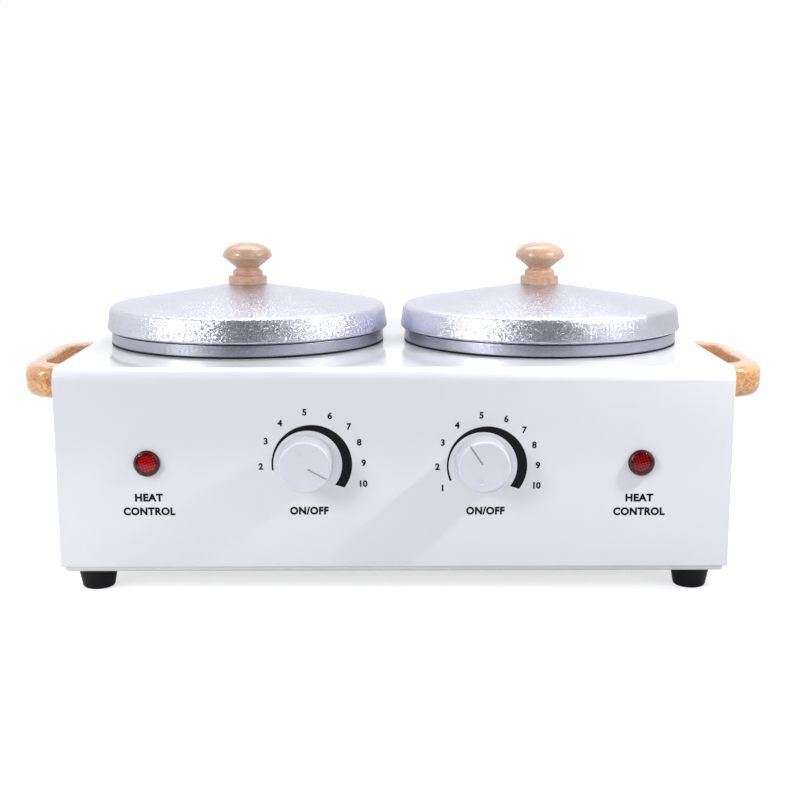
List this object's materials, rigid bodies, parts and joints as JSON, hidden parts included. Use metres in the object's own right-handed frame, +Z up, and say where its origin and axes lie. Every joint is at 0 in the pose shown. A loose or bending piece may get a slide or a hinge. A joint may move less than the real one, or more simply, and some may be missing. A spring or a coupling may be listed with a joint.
{
  "type": "double wax warmer",
  "caption": "White steel case with two heated wells, lift-out wax pots and spun lids with wooden knobs, two dials, pilot lamps and wooden side handles.",
  "frame": {"origin": "on the surface the feet stand on, under the middle of the whole footprint", "axes": "+X to the right and +Y to the back for someone facing the dials, +Z up"},
  "size_m": [0.4298, 0.2474, 0.1811],
  "materials": {
    "white_paint": "glossy white stove enamel",
    "black_rubber": "matt",
    "varnished_wood": "figured wood under gloss varnish",
    "turned_beech": "turned and satin lacquered",
    "silver_paint": "silver paint with fine flake",
    "spun_aluminium": "spun, satin",
    "pot_aluminium": "spun, satin inside",
    "black_silicone": "matt",
    "heater_steel": "dulled by heat",
    "glass_wool": "loose fibre",
    "zinc_steel": "zinc plated",
    "spindle_steel": "turned",
    "brass": "plain",
    "copper": "plain copper",
    "white_plastic": "gloss moulding",
    "black_moulding": "fine matt moulding",
    "ivory_plastic": "plain moulding",
    "red_lens": "clear red lens",
    "neon_glass": "clear glass",
    "fuse_metal": "drawn case",
    "wire_green": "heat resistant sleeving",
    "wire_red": "heat resistant sleeving",
    "wire_brown": "heat resistant sleeving"
  },
  "bodies": {
    "root": {"body_shell": "white_paint", "left_side_panel": "white_paint", "right_side_panel": "white_paint", "base_pan": "white_paint", "base_screws": "zinc_steel", "feet": "black_rubber", "foot_screws": "zinc_steel", "foot_nuts": "zinc_steel", "left_handle": "varnished_wood", "right_handle": "varnished_wood", "handle_screws": "zinc_steel", "left_seal_ring": "black_silicone", "right_seal_ring": "black_silicone", "left_heating_well": "spun_aluminium", "right_heating_well": "spun_aluminium", "well_nuts": "zinc_steel", "left_heater_band": "heater_steel", "right_heater_band": "heater_steel", "heater_clamp_bolts": "zinc_steel", "left_insulation": "glass_wool", "right_insulation": "glass_wool", "left_thermostat": "black_moulding", "right_thermostat": "black_moulding", "thermostat_nuts": "brass", "left_sensor": "copper", "right_sensor": "copper", "left_pilot_lens": "red_lens", "right_pilot_lens": "red_lens", "left_pilot_body": "black_moulding", "right_pilot_body": "black_moulding", "pilot_nuts": "black_moulding", "neon_bulbs": "neon_glass", "thermal_fuses": "fuse_metal", "terminal_block": "ivory_plastic", "terminal_screws": "brass", "block_screws": "zinc_steel", "earth_terminal": "zinc_steel", "power_inlet": "black_moulding", "inlet_pins": "brass", "inlet_screws": "zinc_steel", "supply_wires": "wire_green", "left_wires": "wire_red", "right_wires": "wire_brown"},
    "left_dial": {"left_spindle": "spindle_steel", "left_control_knob": "white_plastic"},
    "right_dial": {"right_spindle": "spindle_steel", "right_control_knob": "white_plastic"},
    "left_pot": {"left_wax_pot": "pot_aluminium"},
    "right_pot": {"right_wax_pot": "pot_aluminium"},
    "left_lid": {"left_lid": "silver_paint", "left_lid_knob": "turned_beech", "left_lid_screw": "zinc_steel"},
    "right_lid": {"right_lid": "silver_paint", "right_lid_knob": "turned_beech", "right_lid_screw": "zinc_steel"}
  },
  "joints": [
    {"name": "left_knob_turn", "type": "hinge", "parent": "root", "child": "left_dial", "pos_m": [-0.0465, -0.1097, 0.0733], "axis": [0, 1, 0], "range_deg": [-263, 7]},
    {"name": "right_knob_turn", "type": "hinge", "parent": "root", "child": "right_dial", "pos_m": [0.0465, -0.1097, 0.0733], "axis": [0, 1, 0], "range_deg": [-111, 159]},
    {"name": "left_pot_lift", "type": "slide", "parent": "root", "child": "left_pot", "axis": [0, 0, 1], "range_m": [0, 0.12]},
    {"name": "right_pot_lift", "type": "slide", "parent": "root", "child": "right_pot", "axis": [0, 0, 1], "range_m": [0, 0.12]},
    {"name": "left_lid_lift", "type": "slide", "parent": "left_pot", "child": "left_lid", "axis": [0, 0, 1], "range_m": [0, 0.06]},
    {"name": "right_lid_lift", "type": "slide", "parent": "right_pot", "child": "right_lid", "axis": [0, 0, 1], "range_m": [0, 0.06]}
  ]
}
